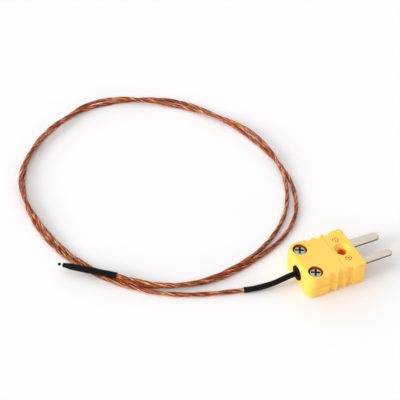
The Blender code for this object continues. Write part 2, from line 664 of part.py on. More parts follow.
def main():
    clear_scene()
    plastic = make_material("plug_plastic", (0.95, 0.62, 0.10), 0.45)
    steel = make_material("screw_steel", (0.72, 0.71, 0.68), 0.30, 1.0)
    nickel = make_material("blade_alloy", (0.66, 0.64, 0.58), 0.42, 1.0)
    brass = make_material("insert_brass", (0.78, 0.62, 0.30), 0.35, 1.0)
    rubber = make_material("black_rubber", (0.015, 0.015, 0.017), 0.60)
    shrink = make_material("shrink_sleeve", (0.012, 0.012, 0.014), 0.45)
    film = make_material("lead_film", (0.42, 0.12, 0.04), 0.35)
    red_film = make_material("red_film", (0.45, 0.07, 0.03), 0.35)
    yellow_film = make_material("yellow_film", (0.80, 0.45, 0.08), 0.35)
    alloy = make_material("wire_alloy", (0.55, 0.52, 0.47), 0.35, 1.0)
    weld = make_material("bead_alloy", (0.16, 0.15, 0.14), 0.50, 1.0)

    make_shells(plastic)
    make_blades(nickel)
    make_terminals(steel)
    make_cover_screws(steel, brass)
    make_grommet(rubber)
    make_inner_wires({"negative": red_film, "positive": yellow_film}, alloy)
    make_sleeves_and_lead(shrink, film)
    make_tip(shrink, alloy, weld)


main()
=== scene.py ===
import json
import math

import bmesh
import bpy
import numpy as np
from mathutils import Matrix, Vector


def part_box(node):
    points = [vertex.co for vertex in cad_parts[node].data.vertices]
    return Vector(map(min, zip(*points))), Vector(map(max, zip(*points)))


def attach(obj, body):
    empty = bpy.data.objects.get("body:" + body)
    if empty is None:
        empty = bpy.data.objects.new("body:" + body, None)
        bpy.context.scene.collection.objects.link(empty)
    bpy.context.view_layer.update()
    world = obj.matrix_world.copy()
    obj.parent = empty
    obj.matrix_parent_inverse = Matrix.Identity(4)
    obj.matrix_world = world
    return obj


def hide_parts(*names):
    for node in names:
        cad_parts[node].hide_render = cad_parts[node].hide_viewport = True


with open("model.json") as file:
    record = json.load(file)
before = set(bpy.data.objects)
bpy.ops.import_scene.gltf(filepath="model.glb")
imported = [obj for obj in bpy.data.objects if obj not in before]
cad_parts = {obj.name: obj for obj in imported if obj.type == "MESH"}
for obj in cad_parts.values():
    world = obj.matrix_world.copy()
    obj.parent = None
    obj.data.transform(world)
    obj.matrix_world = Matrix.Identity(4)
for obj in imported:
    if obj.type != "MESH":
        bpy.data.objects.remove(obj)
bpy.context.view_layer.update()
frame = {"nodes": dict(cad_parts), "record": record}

# Sizes are in metres and in the part's frame, angles in radians.
# The lens and the sensor are in millimetres, and the lamps' power is in watts.

# Camera, solved from the plug's corners in the photo
CAMERA_PLACE = (-0.12807, -0.18142, 0.23342)
CAMERA_TARGET = (-0.02766, 0.04546, 0.0)
CAMERA_LENS = 92.06
CAMERA_SENSOR = 36.0
CAMERA_CLIP = (0.01, 20.0)

# Light. The world is brightest at the far left, which WORLD_SLANT points to.
WORLD_LEVEL = 0.915
WORLD_SLANT = (-0.42, 0.32, 0.0)
WORLD_COLOUR = (0.985, 0.99, 1.0)
BACKDROP_COLOUR = (0.97, 0.97, 0.97)
LAMP_TARGET = (-0.03, 0.04, 0.0)
KEY_LAMP = {"place": (-4.70, 0.15, 1.85), "size": 2.2, "power": 140.0, "colour": (1.0, 0.985, 0.965)}
FILL_LAMP = {"place": (1.20, -4.70, 0.95), "size": 1.6, "power": 36.0, "colour": (1.0, 0.30, 0.06)}

# Floor
FLOOR_REACH = 4.0
FLOOR_DROP = 0.00002
FLOOR_COLOUR = (0.885, 0.885, 0.890)

# Painted shade in the hollows of the plug's top. Marks and hole are placed as in part.py, each radius
# reaches just past the hollow's edge, and each fade is the depth over which the painted shade comes in.
WELL_RADIUS = 0.0024
WELL_FADE = 0.0006
WELL_PAINTED_SHADE = (0.42, 0.13, 0.008)
MARK_FROM_FRONT = 0.0041
MARK_SPACING = 0.0083
MARK_RADIUS = 0.00115
MARK_FADE = (0.00006, 0.00020)
MARK_PAINTED_SHADE = (0.62, 0.27, 0.03)
HOLE_FROM_FRONT = 0.0040
HOLE_RADIUS = 0.0014
HOLE_FADE = 0.0006
HOLE_PAINTED_SHADE = (0.98, 0.32, 0.006)
DISH_DEPTH = 0.0015
HOLLOW_EDGE = 0.00008

# Depths in the cover screws' cross recesses at which the painted shade starts and is full
RECESS_SHADE_STARTS = 0.00022
RECESS_SHADE_FULL = 0.00042

# The lead: its route and facts as in part.py, then the wrapped pair's own form
SLEEVE_ROUTE = [
    (-0.0116, 0.0000, 0.00400), (-0.0130, 0.0000, 0.00400), (-0.0150, 0.0000, 0.00400),
    (-0.0177, 0.0001, 0.00369), (-0.0210, 0.0004, 0.00273), (-0.0238, 0.0009, 0.00180),
    (-0.0266, 0.0015, 0.00121), (-0.0295, 0.0021, 0.00093), (-0.0320, 0.0028, 0.00090),
]
LEAD_ROUTE = [
    (-0.0323, 0.0029, 0.0008), (-0.0508, 0.0093, 0.0006), (-0.0664, 0.0216, 0.0006),
    (-0.0770, 0.0383, 0.0006), (-0.0814, 0.0576, 0.0006), (-0.0790, 0.0772, 0.0006),
    (-0.0693, 0.0944, 0.0006), (-0.0528, 0.1050, 0.0006), (-0.0331, 0.1054, 0.0006),
    (-0.0151, 0.0975, 0.0006), (-0.0037, 0.0814, 0.0006), (0.0025, 0.0626, 0.0006),
    (0.0041, 0.0429, 0.0006), (-0.0032, 0.0246, 0.0006), (-0.0194, 0.0142, 0.0006),
    (-0.0389, 0.0103, 0.0006), (-0.0475, 0.0121, 0.0006), (-0.0577, 0.0160, 0.0006),
    (-0.0671, 0.0245, 0.0007), (-0.0739, 0.0352, 0.0006), (-0.0783, 0.0471, 0.0010),
    (-0.0807, 0.0596, 0.0017), (-0.0810, 0.0723, 0.0019), (-0.0766, 0.0841, 0.0019),
    (-0.0682, 0.0936, 0.0017), (-0.0577, 0.1008, 0.0018), (-0.0464, 0.1067, 0.0019),
    (-0.0340, 0.1057, 0.0019), (-0.0228, 0.0997, 0.0012), (-0.0129, 0.0919, 0.0006),
    (-0.0052, 0.0818, 0.0018), (0.0016, 0.0711, 0.0017), (0.0039, 0.0587, 0.0019),
    (0.0031, 0.0460, 0.0015), (-0.0010, 0.0340, 0.0008), (-0.0087, 0.0239, 0.0006),
    (-0.0190, 0.0165, 0.0007), (-0.0305, 0.0117, 0.0018), (-0.0433, 0.0103, 0.0021),
    (-0.0552, 0.0144, 0.0019), (-0.0652, 0.0223, 0.0023),
]
TIP_SLEEVE_END = (-0.0792, 0.0335, 0.0024)
LEAD_DIAMETER = 0.0012
LEAD_POINTS = 79
LINE_POINTS = 900
LINE_SOFTENING = 2
LEAD_STEP = 0.00028
LEAD_SIDES = 28
LEAD_MEAN_RADIUS = 0.00063
LEAD_OVAL = 0.00005
LEAD_LIFT = 0.00009
LEAD_LIFT_RUN = 0.01
LEAD_TUCKS = (0.0008, 0.0016)
VALLEY_DEPTH = 0.00007
VALLEY_WIDTH = 0.36
TWIST_PITCH = 0.0160
TWIST_DRIFTS = ((0.5, 0.031, 0.0), (0.35, 0.0137, 1.3))
FILM_PITCH = 0.0036
FILM_STARTS = 2
FILM_EDGE = 0.000016

# Shrink sleeves
SLEEVE_SIDES = 28
SLEEVE_LINED = 10
RIPPLE_WAVES = (0.0011, 0.0019)
CREASE_WAVE = 0.0016
PLUG_SLEEVE_RADIUS = 0.00088
PLUG_SLEEVE_WALL = 0.00016
PLUG_SLEEVE_RINGS = 60
TIP_SLEEVE_RADIUS = 0.00104
TIP_SLEEVE_WALL = 0.00018
TIP_SLEEVE_RINGS = 70
TIP_SLEEVE_START = 0.0005
TIP_TAPER_LENGTH = 0.0030
TIP_TAPER_SHARE = 0.70

# Frayed fibres where the plug's sleeve ends
FIBRE_COUNT = 26
FIBRE_LENGTHS = (0.0004, 0.0013)
FIBRE_RADIUS = 0.000055
FIBRE_FROM_AXIS = 0.00062
FIBRE_ROOT = 0.0005
FIBRE_LOWEST = 0.00006
FIBRE_SPREAD = math.radians(42)
FIBRE_STEPS = 6
FIBRE_SIDES = 5

# Bare wires and bead at the tip
TIP_WIRE_RADIUS = 0.00014
TIP_WIRE_START = -0.0008
TIP_WIRE_REACH = 0.0016
TIP_WIRE_FROM_AXIS = 0.00018
TIP_WIRE_BOW = 0.00013
TIP_WIRE_CLOSING = 0.00012
TIP_WIRE_TURN = 0.9
TIP_WIRE_STEPS = 12
TIP_WIRE_SIDES = 12
BEAD_RADIUS = 0.00050
BEAD_LUMPS = 7
BEAD_LUMP_SIZES = (-0.00005, 0.00006)
BEAD_LUMP_SHARPNESS = 6
BEAD_STRETCH = 1.22


# Camera, light and floor

def add_object(name, data):
    item = bpy.data.objects.new(name, data)
    bpy.context.scene.collection.objects.link(item)
    return item


def aim(item, place, target):
    item.location = place
    way = Vector(target) - Vector(place)
    item.rotation_euler = way.to_track_quat("-Z", "Y").to_euler()


def make_camera():
    data = bpy.data.cameras.new("camera")
    data.lens = CAMERA_LENS
    data.sensor_width = CAMERA_SENSOR
    data.clip_start, data.clip_end = CAMERA_CLIP
    camera = add_object("camera", data)
    aim(camera, CAMERA_PLACE, CAMERA_TARGET)
    bpy.context.scene.camera = camera


def add_lamp(name, place, size, power, colour):
    data = bpy.data.lights.new(name, "AREA")
    data.shape = "DISK"
    data.size = size
    data.energy = power
    data.color = colour
    aim(add_object(name, data), place, LAMP_TARGET)


def make_world():
    """Light from all round that is stronger from one side.

    The camera, mirrored rays and rays that pass through see a plain backdrop in its place."""
    world = bpy.data.worlds.new("studio")
    bpy.context.scene.world = world
    world.use_nodes = True
    tree = world.node_tree
    tree.nodes.clear()
    lit = tree.nodes.new("ShaderNodeBackground")
    lit.inputs["Color"].default_value = (*WORLD_COLOUR, 1.0)
    way = tree.nodes.new("ShaderNodeTexCoord")
    slant = tree.nodes.new("ShaderNodeVectorMath")
    slant.operation = "DOT_PRODUCT"
    slant.inputs[1].default_value = WORLD_SLANT
    link(tree, way.outputs["Generated"], slant.inputs[0])
    level = combine(tree, "ADD", slant.outputs["Value"], WORLD_LEVEL)
    link(tree, level, lit.inputs["Strength"])
    backdrop = tree.nodes.new("ShaderNodeBackground")
    backdrop.inputs["Color"].default_value = (*BACKDROP_COLOUR, 1.0)
    path = tree.nodes.new("ShaderNodeLightPath")
    seen = combine(tree, "MAXIMUM", path.outputs["Is Camera Ray"], path.outputs["Is Glossy Ray"])
    seen = combine(tree, "MAXIMUM", seen, path.outputs["Is Transmission Ray"])
    mix = tree.nodes.new("ShaderNodeMixShader")
    link(tree, seen, mix.inputs["Fac"])
    link(tree, lit.outputs[0], mix.inputs[1])
    link(tree, backdrop.outputs[0], mix.inputs[2])
    out = tree.nodes.new("ShaderNodeOutputWorld")
    link(tree, mix.outputs[0], out.inputs["Surface"])


def make_floor():
    """Matt white paper, a hair below the part's underside."""
    sides = ((-1, -1), (1, -1), (1, 1), (-1, 1))
    corners = [(x * FLOOR_REACH, y * FLOOR_REACH, 0) for x, y in sides]
    mesh = mesh_of("floor", corners, [(0, 1, 2, 3)])
    floor = add_object("floor", mesh)
    floor.location = (0, 0, -FLOOR_DROP)
    material, _, shader = start_material("floor_paper")
    shader.inputs["Base Color"].default_value = (*FLOOR_COLOUR, 1.0)
    shader.inputs["Roughness"].default_value = 0.9
    shader.inputs["Specular IOR Level"].default_value = 0.1
    mesh.materials.append(material)


# Materials

def start_material(name):
    material = bpy.data.materials.new(name)
    material.use_nodes = True
    return material, material.node_tree, material.node_tree.nodes["Principled BSDF"]


def link(tree, source, target):
    tree.links.new(source, target)


def object_coordinates(tree, scale=(1.0, 1.0, 1.0)):
    """Object coordinates in metres, stretched by a scale on each axis."""
    source = tree.nodes.new("ShaderNodeTexCoord")
    return stretched(tree, source.outputs["Object"], scale)


def stretched(tree, vector, scale):
    mapping = tree.nodes.new("ShaderNodeMapping")
    mapping.inputs["Scale"].default_value = scale
    link(tree, vector, mapping.inputs["Vector"])
    return mapping.outputs["Vector"]


def attribute(tree, name):
    node = tree.nodes.new("ShaderNodeAttribute")
    node.attribute_type = "GEOMETRY"
    node.attribute_name = name
    return node.outputs["Vector"]


def surface(tree, output):
    """The surface's own position or normal."""
    return tree.nodes.new("ShaderNodeNewGeometry").outputs[output]


def components(tree, vector):
    node = tree.nodes.new("ShaderNodeSeparateXYZ")
    link(tree, vector, node.inputs[0])
    return node.outputs["X"], node.outputs["Y"], node.outputs["Z"]


def noise(tree, vector, scale, detail=2.0, roughness=0.5):
    node = tree.nodes.new("ShaderNodeTexNoise")
    node.inputs["Scale"].default_value = scale
    node.inputs["Detail"].default_value = detail
    node.inputs["Roughness"].default_value = roughness
    link(tree, vector, node.inputs["Vector"])
    return node.outputs["Fac"]


def spread(tree, value, low, high, between=(0.3, 0.7)):
    """Runs from low to high as the value goes from the first bound to the second."""
    node = tree.nodes.new("ShaderNodeMapRange")
    node.inputs["From Min"].default_value, node.inputs["From Max"].default_value = between
    node.inputs["To Min"].default_value = low
    node.inputs["To Max"].default_value = high
    link(tree, value, node.inputs["Value"])
    return node.outputs["Result"]


def blend_colours(tree, factor, first, second):
    """Mixes two colours, each a plain colour or a socket, by a factor socket."""
    node = tree.nodes.new("ShaderNodeMix")
    node.data_type = "RGBA"
    link(tree, factor, node.inputs["Factor"])
    for socket, colour in ((node.inputs[6], first), (node.inputs[7], second)):
        if isinstance(colour, tuple):
            socket.default_value = (*colour, 1.0)
        else:
            link(tree, colour, socket)
    return node.outputs[2]


def scaled(colour, share):
    return tuple(share * c for c in colour)


def combine(tree, operation, first, second=0.0):
    """One maths step on two values, each a plain number or a socket."""
    node = tree.nodes.new("ShaderNodeMath")
    node.operation = operation
    for socket, value in zip(node.inputs, (first, second)):
        if isinstance(value, (int, float)):
            socket.default_value = value
        else:
            link(tree, value, socket)
    return node.outputs[0]


def bump(tree, shader, height, strength, distance):
    node = tree.nodes.new("ShaderNodeBump")
    node.inputs["Strength"].default_value = strength
    node.inputs["Distance"].default_value = distance
    link(tree, height, node.inputs["Height"])
    link(tree, node.outputs["Normal"], shader.inputs["Normal"])


def hollow_shade_mask(tree, place, radius, top, full):
    """Mask for painted shade: 1 inside an upright round hollow and 0 outside it, from its axis, radius and
    two heights.

    The value starts to rise below the height top and is 1 from the height full down."""
    away = tree.nodes.new("ShaderNodeVectorMath")
    away.operation = "SUBTRACT"
    away.inputs[1].default_value = (*place, 0.0)
    link(tree, surface(tree, "Position"), away.inputs[0])
    x, y, z = components(tree, away.outputs["Vector"])
    squares = combine(tree, "ADD", combine(tree, "MULTIPLY", x, x), combine(tree, "MULTIPLY", y, y))
    distance = combine(tree, "SQRT", squares)
    near = spread(tree, distance, 1.0, 0.0, (radius, radius + HOLLOW_EDGE))
    deep = spread(tree, z, 1.0, 0.0, (full, top))
    return combine(tree, "MULTIPLY", near, deep)


def plug_plastic(hollows):
    """Glass-filled yellow nylon: fine moulded grain, faint flow clouds and a few dull rubbed spots.

    Painted shade: the nylon is painted deeper orange and darker inside its hollows, where light bounces
    about and shade falls."""
    material, tree, shader = start_material("plug_plastic")
    plain = object_coordinates(tree)
    clouds = noise(tree, plain, 210.0, detail=3.0)
    grain = noise(tree, plain, 5200.0, detail=3.0, roughness=0.6)
    pale, deep, rubbed = (0.955, 0.595, 0.095), (0.99, 0.645, 0.115), (0.80, 0.43, 0.06)
    colour = blend_colours(tree, spread(tree, clouds, 0.0, 1.0), pale, deep)
    specks = spread(tree, noise(tree, plain, 2600.0, detail=1.0), 0.0, 0.35, (0.66, 0.76))
    colour = blend_colours(tree, specks, colour, rubbed)
    # Painted shade in the screw wells, the marks and the hole
    for place, radius, top, full, tint in hollows:
        colour = blend_colours(tree, hollow_shade_mask(tree, place, radius, top, full), colour, tint)
    link(tree, colour, shader.inputs["Base Color"])
    link(tree, spread(tree, noise(tree, plain, 900.0), 0.40, 0.54), shader.inputs["Roughness"])
    shader.inputs["Specular IOR Level"].default_value = 0.35
    shader.inputs["Subsurface Weight"].default_value = 0.15
    shader.inputs["Subsurface Radius"].default_value = (0.0008, 0.0004, 0.0001)
    shader.inputs["Subsurface Scale"].default_value = 1.0
    bump(tree, shader, grain, strength=0.25, distance=0.00002)
    return material


def plated_steel(name, base, roughness, recess_shade=None):
    """Bright plated steel with fine turning marks, and painted shade that darkens it below two heights if
    they are given.
    """
    material, tree, shader = start_material(name)
    wear = noise(tree, object_coordinates(tree), 1500.0, detail=3.0)
    colour = blend_colours(tree, spread(tree, wear, 0.0, 1.0), base, scaled(base, 0.85))
    # Painted shade: darker deep in the cross recess, by height
    if recess_shade is not None:
        _, _, height = components(tree, surface(tree, "Position"))
        depth = spread(tree, height, 1.0, 0.0, recess_shade)
        colour = blend_colours(tree, depth, colour, (0.03, 0.03, 0.035))
    link(tree, colour, shader.inputs["Base Color"])
    shader.inputs["Metallic"].default_value = 1.0
    link(tree, spread(tree, wear, roughness, roughness + 0.12), shader.inputs["Roughness"])
    scratches = noise(tree, object_coordinates(tree, (2000.0, 9000.0, 2000.0)), 1.0)
    bump(tree, shader, scratches, strength=0.15, distance=0.00001)
    return material


def blade_alloy():
    """Dull rolled alloy strip: fine lines along it, faint handling marks, and dark upright sides that are
    partly the cut edges' own look and partly painted shade and reflection.
    """
    material, tree, shader = start_material("blade_alloy")
    lines = noise(tree, object_coordinates(tree, (260.0, 7000.0, 7000.0)), 1.0, 4.0, 0.6)
    stains = noise(tree, object_coordinates(tree), 320.0, detail=3.0)
    colour = blend_colours(tree, spread(tree, stains, 0.0, 1.0), (0.80, 0.74, 0.63), (0.72, 0.66, 0.55))
    colour = blend_colours(tree, spread(tree, lines, 0.0, 0.35), colour, (0.50, 0.47, 0.41))
    # Painted shade and reflection: the upright sides are painted dark, partly for their cut finish
    _, _, rise = components(tree, surface(tree, "Normal"))
    cut_sides_and_shade = spread(tree, combine(tree, "ABSOLUTE", rise), 1.0, 0.0, (0.45, 0.85))
    colour = blend_colours(tree, cut_sides_and_shade, colour, (0.17, 0.15, 0.12))
    link(tree, colour, shader.inputs["Base Color"])
    shader.inputs["Metallic"].default_value = 1.0
    link(tree, spread(tree, lines, 0.40, 0.55), shader.inputs["Roughness"])
    bump(tree, shader, lines, strength=0.2, distance=0.00001)
    return material


def turned_brass():
    """Brass with fine rings round its upright axis."""
    material, tree, shader = start_material("insert_brass")
    rings = noise(tree, object_coordinates(tree, (600.0, 600.0, 9000.0)), 1.0)
    colour = blend_colours(tree, spread(tree, rings, 0.0, 1.0), (0.78, 0.62, 0.30), (0.68, 0.50, 0.22))
    link(tree, colour, shader.inputs["Base Color"])
    shader.inputs["Metallic"].default_value = 1.0
    link(tree, spread(tree, rings, 0.28, 0.42), shader.inputs["Roughness"])
    bump(tree, shader, rings, strength=0.3, distance=0.00001)
    return material


def rubber(name, base, roughness):
    """Black rubber or shrink tube with a soft uneven sheen."""
    material, tree, shader = start_material(name)
    plain = object_coordinates(tree)
    soft = noise(tree, plain, 900.0, detail=3.0)
    fine = noise(tree, plain, 7000.0)
    colour = blend_colours(tree, spread(tree, soft, 0.0, 1.0), base, scaled(base, 1.9))
    link(tree, colour, shader.inputs["Base Color"])
    link(tree, spread(tree, soft, roughness, roughness + 0.15), shader.inputs["Roughness"])
    shader.inputs["Specular IOR Level"].default_value = 0.07
    bump(tree, shader, fine, strength=0.3, distance=0.00002)
    return material


def wrapped_film(name, first, second, dark, painted_glint, pale):
    """Glossy film wrapped over two wires.

    Two tints turn with the twist, with dark streaks, the film's overlap lines, painted shade in the
    valleys between the wires and painted highlights on the bright streaks."""
    material, tree, shader = start_material(name)
    overlap, seam, side = components(tree, attribute(tree, "wrap"))
    barrel = attribute(tree, "barrel")
    patches = noise(tree, barrel, 520.0)
    long_streaks = stretched(tree, barrel, (3400.0, 3400.0, 260.0))
    streaks = noise(tree, long_streaks, 1.0, 3.0, 0.55)
    tone = combine(tree, "ADD", side, spread(tree, patches, -1.1, 1.1))
    colour = blend_colours(tree, spread(tree, tone, 0.0, 1.0, (-0.35, 0.35)), first, second)
    colour = blend_colours(tree, spread(tree, streaks, 0.8, 0.0, (0.36, 0.50)), colour, dark)
    # Painted highlights: the bright ends of the streaks are painted in pale glints
    painted_shine_mix = spread(tree, noise(tree, barrel, 900.0, detail=1.0), 0.0, 1.0, (0.42, 0.58))
    painted_shine = blend_colours(tree, painted_shine_mix, painted_glint, pale)
    colour = blend_colours(tree, spread(tree, streaks, 0.0, 0.95, (0.54, 0.66)), colour, painted_shine)
    # Painted shade in the valleys between the two wires
    valley = spread(tree, combine(tree, "ABSOLUTE", side), 0.3, 0.0, (0.05, 0.50))
    colour = blend_colours(tree, valley, colour, dark)
    colour = blend_colours(tree, spread(tree, overlap, 0.0, 0.18, (0.2, 0.7)), colour, dark)
    colour = blend_colours(tree, spread(tree, seam, 0.0, 0.4, (0.92, 0.99)), colour, scaled(dark, 0.4))
    link(tree, colour, shader.inputs["Base Color"])
    link(tree, spread(tree, streaks, 0.20, 0.36), shader.inputs["Roughness"])
    shader.inputs["Specular IOR Level"].default_value = 0.20
    bump(tree, shader, streaks, strength=0.5, distance=0.00005)
    return material


def plain_film(name, light, dark):
    """Glossy film on the short wire tails inside the plug."""
    material, tree, shader = start_material(name)
    soft = noise(tree, object_coordinates(tree), 1800.0, detail=3.0)
    link(tree, blend_colours(tree, spread(tree, soft, 0.0, 1.0), light, dark), shader.inputs["Base Color"])
    link(tree, spread(tree, soft, 0.25, 0.4), shader.inputs["Roughness"])
    bump(tree, shader, soft, strength=0.3, distance=0.00002)
    return material


def drawn_wire(name, base, roughness):
    """Bare alloy with soft dull patches."""
    material, tree, shader = start_material(name)
    soft = noise(tree, object_coordinates(tree), 2500.0, detail=3.0)
    colour = blend_colours(tree, spread(tree, soft, 0.0, 1.0), base, scaled(base, 0.6))
    link(tree, colour, shader.inputs["Base Color"])
    shader.inputs["Metallic"].default_value = 1.0
    link(tree, spread(tree, soft, roughness, roughness + 0.2), shader.inputs["Roughness"])
    bump(tree, shader, soft, strength=0.4, distance=0.00003)
    return material


def glass_fibre():
    """Pale straw-coloured fibre."""
    material, tree, shader = start_material("pale_fibre")
    soft = noise(tree, object_coordinates(tree), 3000.0)
    colour = blend_colours(tree, spread(tree, soft, 0.0, 1.0), (0.80, 0.60, 0.34), (0.95, 0.86, 0.66))
    link(tree, colour, shader.inputs["Base Color"])
    link(tree, spread(tree, soft, 0.35, 0.5), shader.inputs["Roughness"])
    return material


# Lines and rings

def arc_lengths(points):
    return np.concatenate([[0.0], np.cumsum(np.linalg.norm(np.diff(points, axis=0), axis=1))])


def evenly(points, count):
    run = arc_lengths(points)
    stations = np.linspace(0.0, run[-1], count)
    return np.array([[np.interp(s, run, points[:, k]) for k in range(3)] for s in stations])


def smooth_curve(points, count):
    """Evenly spaced points on a natural cubic through the route's own points."""
    given = np.array(points)
    steps = np.sqrt(np.linalg.norm(np.diff(given, axis=0), axis=1))
    knots = np.concatenate([[0.0], np.cumsum(steps)])
    size = len(given)
    matrix = np.zeros((size, size))
    right = np.zeros((size, 3))
    matrix[0, 0] = matrix[-1, -1] = 1.0
    for i in range(1, size - 1):
        before = knots[i] - knots[i - 1]
        after = knots[i + 1] - knots[i]
        matrix[i, i - 1] = before
        matrix[i, i] = 2 * (before + after)
        matrix[i, i + 1] = after
        rise_after = (given[i + 1] - given[i]) / after
        rise_before = (given[i] - given[i - 1]) / before
        right[i] = 6 * (rise_after - rise_before)
    bend = np.linalg.solve(matrix, right)
    fine = []
    for value in np.linspace(0.0, knots[-1], 40 * size):
        i = min(int(np.searchsorted(knots, value, side="right")) - 1, size - 2)
        width = knots[i + 1] - knots[i]
        a = (knots[i + 1] - value) / width
        b = (value - knots[i]) / width
        curl = ((a**3 - a) * bend[i] + (b**3 - b) * bend[i + 1]) * width**2 / 6
        fine.append(a * given[i] + b * given[i + 1] + curl)
    return evenly(np.array(fine), count)


def softened(points, rounds):
    """Evens out small corners, with the ends kept."""
    for _ in range(rounds):
        inner = 0.25 * points[:-2] + 0.5 * points[1:-1] + 0.25 * points[2:]
        points = np.vstack([points[:1], inner, points[-1:]])
    return points


def carried_frames(points):
    """Pairs of unit normals along a line, which don't turn round it."""
    tangents = np.gradient(points, axis=0)
    tangents /= np.linalg.norm(tangents, axis=1)[:, None]
    normal = np.cross(tangents[0], (0.0, 0.0, 1.0))
    normal /= np.linalg.norm(normal)
    firsts = []
    for tangent in tangents:
        normal = normal - tangent * np.dot(normal, tangent)
        normal /= np.linalg.norm(normal)
        firsts.append(normal)
    firsts = np.array(firsts)
    return firsts, np.cross(tangents, firsts)


def ring_of(centre, first, second, radius, sides):
    """Points round a centre at one radius, or each at its own."""
    turns = [2 * math.pi * i / sides for i in range(sides)]
    radii = np.broadcast_to(radius, sides)
    return [centre + r * (math.cos(t) * first + math.sin(t) * second) for t, r in zip(turns, radii)]


def loft(rings):
    """Vertices and faces of a skin through equal rings, closed at both ends."""
    count = len(rings[0])
    verts = [tuple(point) for ring in rings for point in ring]
    faces = []
    for k in range(len(rings) - 1):
        for i in range(count):
            j = (i + 1) % count
            faces.append((k * count + i, k * count + j, (k + 1) * count + j, (k + 1) * count + i))
    faces.append(tuple(reversed(range(count))))
    last = (len(rings) - 1) * count
    faces.append(tuple(range(last, last + count)))
    return verts, faces


def mesh_of(name, verts, faces):
    mesh = bpy.data.meshes.new(name)
    mesh.from_pydata(verts, [], faces)
    return mesh


def new_piece(name, mesh, material, replaced=()):
    item = add_object(name, mesh)
    mesh.materials.append(material)
    mesh.shade_smooth()
    if replaced:
        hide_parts(*replaced)
    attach(item, "root")
    return item


# Pieces of the cord

def lead_line():
    """The lead's centre line, a little above the CAD's because the wrapped pair is thicker there."""
    line = smooth_curve(LEAD_ROUTE, LEAD_POINTS)
    line[:, 2] = np.maximum(line[:, 2], LEAD_DIAMETER / 2)
    line = softened(evenly(smooth_curve(line, LINE_POINTS), LINE_POINTS), LINE_SOFTENING)
    from_start = arc_lengths(line)
    from_ends = np.minimum(from_start, from_start[-1] - from_start)
    line[:, 2] += LEAD_LIFT * np.clip(from_ends / LEAD_LIFT_RUN, 0.0, 1.0)
    return line


def lead_radius(lay):
    """The wrapped pair's outline at an angle from its long axis: a soft oval with two shallow valleys."""
    off_axis = abs(math.remainder(lay, math.pi))
    valley = math.exp(-(((math.pi / 2 - off_axis) / VALLEY_WIDTH) ** 2))
    return LEAD_MEAN_RADIUS + LEAD_OVAL * math.cos(2 * lay) - VALLEY_DEPTH * valley + VALLEY_DEPTH / 2


def make_lead(route, material):
    """Two wires laid round each other under one film wrap, as one skin along the route.

    The wrap attribute holds the place across the film's turn and the side of the pair, and the
    barrel attribute holds coordinates that turn with the twist."""
    count = int(arc_lengths(route)[-1] / LEAD_STEP) + 1
    fine = evenly(route, count)
    run = arc_lengths(fine)
    firsts, seconds = carried_frames(fine)
    drift = sum(size * np.sin(run / wave + start) for size, wave, start in TWIST_DRIFTS)
    twist = 2 * math.pi * run / TWIST_PITCH + drift
    rings = []
    wraps = []
    barrels = []
    for k in range(count):
        ring = []
        for i in range(LEAD_SIDES):
            lay = 2 * math.pi * i / LEAD_SIDES
            turn = lay + twist[k]
            wind = FILM_STARTS * (run[k] / FILM_PITCH + turn / (2 * math.pi))
            share = wind - math.floor(wind)
            radius = lead_radius(lay) - FILM_EDGE * share
            ring.append(fine[k] + radius * (math.cos(turn) * firsts[k] + math.sin(turn) * seconds[k]))
            wraps.append((math.cos(2 * math.pi * wind), math.sin(2 * math.pi * wind), math.cos(lay)))
            barrels.append((radius * math.cos(lay), radius * math.sin(lay), run[k]))
        rings.append(ring)
    mesh = mesh_of("lead_pair", *loft(rings))
    for name, values in (("wrap", wraps), ("barrel", barrels)):
        layer = mesh.attributes.new(name, "FLOAT_VECTOR", "POINT")
        layer.data.foreach_set("vector", np.array(values, np.float32).ravel())
    return new_piece("lead_pair", mesh, material, ("lead",))


def sleeve_radii(run, radius, seed, ripple, oval=0.0, taper=None):
    """Radii round each ring: unevenness, the faint lay of the wires inside and an optional taper."""
    rng = np.random.default_rng(seed)
    phases = rng.uniform(0, 2 * math.pi, 6)
    turns = 2 * math.pi * np.arange(SLEEVE_SIDES) / SLEEVE_SIDES
    short, long = RIPPLE_WAVES
    rows = []
    for s in run:
        around = 1 + ripple * np.cos(2 * (turns - 2 * math.pi * s / TWIST_PITCH + phases[0]))
        along = ripple * (math.sin(s / short + phases[1]) + 0.6 * math.sin(s / long + phases[2]))
        crease = 0.5 * ripple * np.cos(3 * turns + s / CREASE_WAVE + phases[3])
        shape = around + along + crease + oval * np.cos(2 * turns + phases[4])
        rows.append(radius * shape * (taper(s) if taper else 1.0))
    return rows


def make_sleeve(name, route, radii, wall, material, replaced):
    """An open shrink tube: outer skin, rolled lips at both ends and a short inner skin behind each."""
    count = len(route)
    firsts, seconds = carried_frames(route)

    def ring(k, radius, along=0.0):
        step = route[min(k + 1, count - 1)] - route[max(k - 1, 0)]
        centre = route[k] + along * step / np.linalg.norm(step)
        return ring_of(centre, firsts[k], seconds[k], radius, SLEEVE_SIDES)

    inner = [outer - wall for outer in radii]
    last = count - 1
    lined = min(SLEEVE_LINED, count // 3)
    rings = [ring(k, inner[k]) for k in range(lined, 0, -1)]
    rings += [
        ring(0, inner[0], 0.3 * wall),
        ring(0, inner[0] + 0.25 * wall),
        ring(0, inner[0] + 0.75 * wall),
        ring(0, radii[0], 0.3 * wall),
    ]
    rings += [ring(k, radii[k]) for k in range(1, last)]
    rings += [
        ring(last, radii[last], -0.3 * wall),
        ring(last, inner[last] + 0.75 * wall),
        ring(last, inner[last] + 0.25 * wall),
        ring(last, inner[last], -0.3 * wall),
    ]
    rings += [ring(k, inner[k]) for k in range(last - 1, last - 1 - lined, -1)]
    mesh = mesh_of(name, *loft(rings))
    return new_piece(name, mesh, material, replaced)


